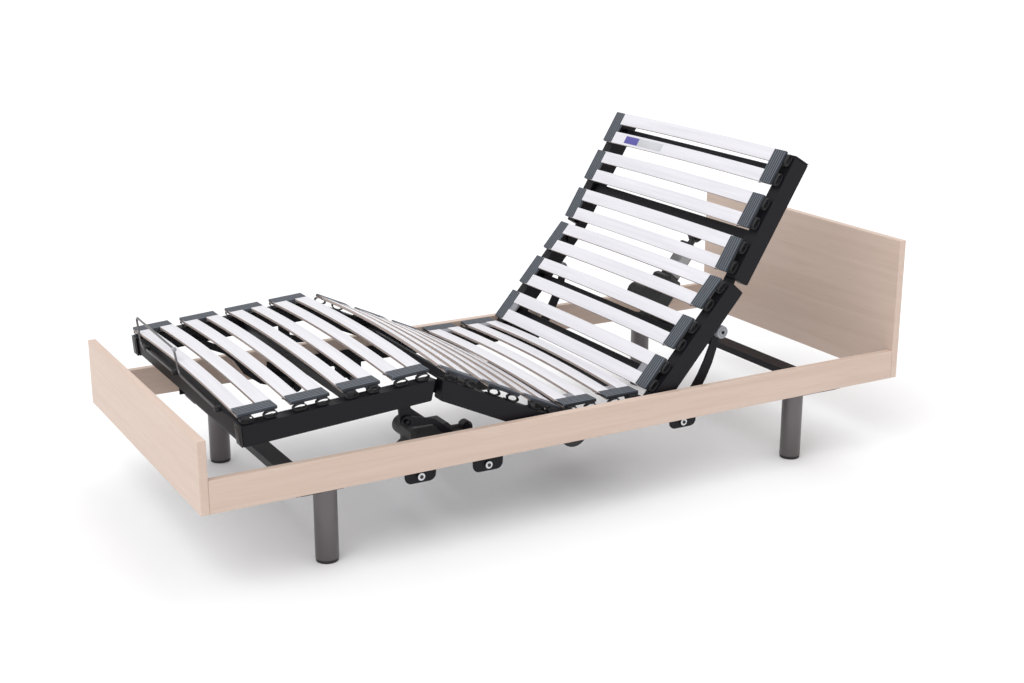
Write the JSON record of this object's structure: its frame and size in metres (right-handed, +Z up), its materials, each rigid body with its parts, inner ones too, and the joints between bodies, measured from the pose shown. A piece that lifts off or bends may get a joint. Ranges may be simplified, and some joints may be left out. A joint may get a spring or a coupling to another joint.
{
  "type": "adjustable bed base",
  "caption": "Single adjustable slatted bed base in a low wooden surround on round legs, with motorised back, head, thigh and calf sections carried by rubber-capped sprung slats.",
  "frame": {"origin": "on the floor, under the middle of the wooden surround", "axes": "+X along the bed towards the headboard, +Y across it to the sleeper's left, +Z up"},
  "size_m": [2.15, 0.94, 0.9283],
  "materials": {
    "surround_wood": "whitened beech, satin lacquer",
    "frame_steel": "satin anthracite powder coat",
    "leg_steel": "dark metallic coat",
    "slats": "white laminated beech in blue-grey rubber caps",
    "bright_steel": "polished",
    "drive_housing": "fine-grained black",
    "roller_plastic": "grey"
  },
  "bodies": {
    "base": {"side_rail_left": "surround_wood", "side_rail_right": "surround_wood", "foot_board": "surround_wood", "head_board": "surround_wood", "leg_foot_left": "leg_steel", "leg_foot_right": "leg_steel", "leg_head_left": "leg_steel", "leg_head_right": "leg_steel", "cross_beam_foot": "frame_steel", "cross_beam_head": "frame_steel", "carrier_left": "frame_steel", "carrier_right": "frame_steel", "stub_axle_left": "frame_steel", "stub_axle_right": "frame_steel", "seat_rail_left": "frame_steel", "seat_rail_right": "frame_steel", "seat_cross_tube": "frame_steel", "seat_slats_1": "slats", "seat_slats_2": "slats", "back_motor": "drive_housing", "leg_motor": "drive_housing", "control_box": "drive_housing"},
    "thigh": {"thigh_rail_left": "frame_steel", "thigh_rail_right": "frame_steel", "thigh_cross_tube": "frame_steel", "thigh_slats_1": "slats", "thigh_slats_2": "slats", "thigh_slats_3": "slats"},
    "calf": {"calf_rail_left": "frame_steel", "calf_rail_right": "frame_steel", "calf_mid_tube": "frame_steel", "calf_foot_tube": "frame_steel", "calf_slats_1": "slats", "calf_slats_2": "slats", "calf_slats_3": "slats", "calf_slats_4": "slats", "mattress_stop": "bright_steel"},
    "calf_strut": {"calf_strut": "frame_steel"},
    "leg_lift": {"leg_lift_shaft": "frame_steel"},
    "leg_rod": {"leg_push_rod": "bright_steel"},
    "back": {"back_rail_left": "frame_steel", "back_rail_right": "frame_steel", "back_cross_tube_1": "frame_steel", "back_cross_tube_2": "frame_steel", "back_slats_1": "slats", "back_slats_2": "slats", "back_slats_3": "slats"},
    "back_lift": {"back_lift_shaft": "frame_steel"},
    "roller_left": {"back_roller_left": "roller_plastic"},
    "roller_right": {"back_roller_right": "roller_plastic"},
    "back_rod": {"back_push_rod": "bright_steel"},
    "head": {"head_rail_left": "frame_steel", "head_rail_right": "frame_steel", "head_cross_tube_1": "frame_steel", "head_cross_tube_2": "frame_steel", "head_slats_1": "slats", "head_slats_2": "slats", "head_slats_3": "slats"},
    "head_drive": {"head_motor": "drive_housing"},
    "head_rod": {"head_push_rod": "bright_steel"}
  },
  "joints": [
    {"name": "thigh_hinge", "type": "hinge", "parent": "base", "child": "thigh", "pos_m": [-0.0905, 0, 0.2515], "axis": [0, 1, 0], "range_deg": [-25.2, 5]},
    {"name": "knee_hinge", "type": "hinge", "parent": "thigh", "child": "calf", "pos_m": [-0.43687, 0, 0.41449], "axis": [0, 1, 0], "range_deg": [-5.9, 29.15]},
    {"name": "leg_shaft_turn", "type": "hinge", "parent": "base", "child": "leg_lift", "pos_m": [-0.3, 0, 0.19], "axis": [0, 1, 0], "range_deg": [-36.9, 7.4]},
    {"name": "calf_strut_swing", "type": "hinge", "parent": "base", "child": "calf_strut", "pos_m": [-0.494, 0, 0.195], "axis": [0, 1, 0], "range_deg": [-24.4, 4.9]},
    {"name": "leg_rod_slide", "type": "slide", "parent": "base", "child": "leg_rod", "axis": [1, 0, 0], "range_m": [-0.0371, 0.0075]},
    {"name": "back_hinge", "type": "hinge", "parent": "base", "child": "back", "pos_m": [0.222, 0, 0.2515], "axis": [0, -1, 0], "range_deg": [-48.9, 7.1]},
    {"name": "back_shaft_turn", "type": "hinge", "parent": "base", "child": "back_lift", "pos_m": [0.314, 0, 0.2], "axis": [0, -1, 0], "range_deg": [-58.95, 8.6]},
    {"name": "roller_left_spin", "type": "hinge", "parent": "back_lift", "child": "roller_left", "pos_m": [0.44818, 0.4255, 0.4343], "axis": [0, 1, 0], "range_deg": [-250, 37]},
    {"name": "roller_right_spin", "type": "hinge", "parent": "back_lift", "child": "roller_right", "pos_m": [0.44818, -0.4255, 0.4343], "axis": [0, 1, 0], "range_deg": [-250, 37]},
    {"name": "back_rod_slide", "type": "slide", "parent": "base", "child": "back_rod", "axis": [1, 0, 0], "range_m": [-0.0598, 0.0088]},
    {"name": "head_hinge", "type": "hinge", "parent": "back", "child": "head", "pos_m": [0.49547, 0, 0.56498], "axis": [0, -1, 0], "range_deg": [-9.8, 15]},
    {"name": "head_drive_swing", "type": "hinge", "parent": "back", "child": "head_drive", "pos_m": [0.41105, 0, 0.39976], "axis": [0, -1, 0], "range_deg": [-3.7, 5.6]},
    {"name": "head_rod_slide", "type": "slide", "parent": "head_drive", "child": "head_rod", "axis": [0.6233, 0, 0.782], "range_m": [-0.0052, 0.0079]}
  ],
  "couplings": [
    {"joint": "knee_hinge", "follows": "thigh_hinge", "ratio": -1.1548},
    {"joint": "leg_shaft_turn", "follows": "thigh_hinge", "ratio": 1.46},
    {"joint": "calf_strut_swing", "follows": "thigh_hinge", "ratio": 0.964},
    {"joint": "leg_rod_slide", "follows": "thigh_hinge", "m_per_rad": 0.08395},
    {"joint": "back_shaft_turn", "follows": "back_hinge", "ratio": 1.204},
    {"joint": "roller_left_spin", "follows": "back_hinge", "ratio": 5.09},
    {"joint": "roller_right_spin", "follows": "back_hinge", "ratio": 5.09},
    {"joint": "back_rod_slide", "follows": "back_hinge", "m_per_rad": 0.06983},
    {"joint": "head_drive_swing", "follows": "head_hinge", "ratio": 0.368},
    {"joint": "head_rod_slide", "follows": "head_hinge", "m_per_rad": 0.0298}
  ]
}
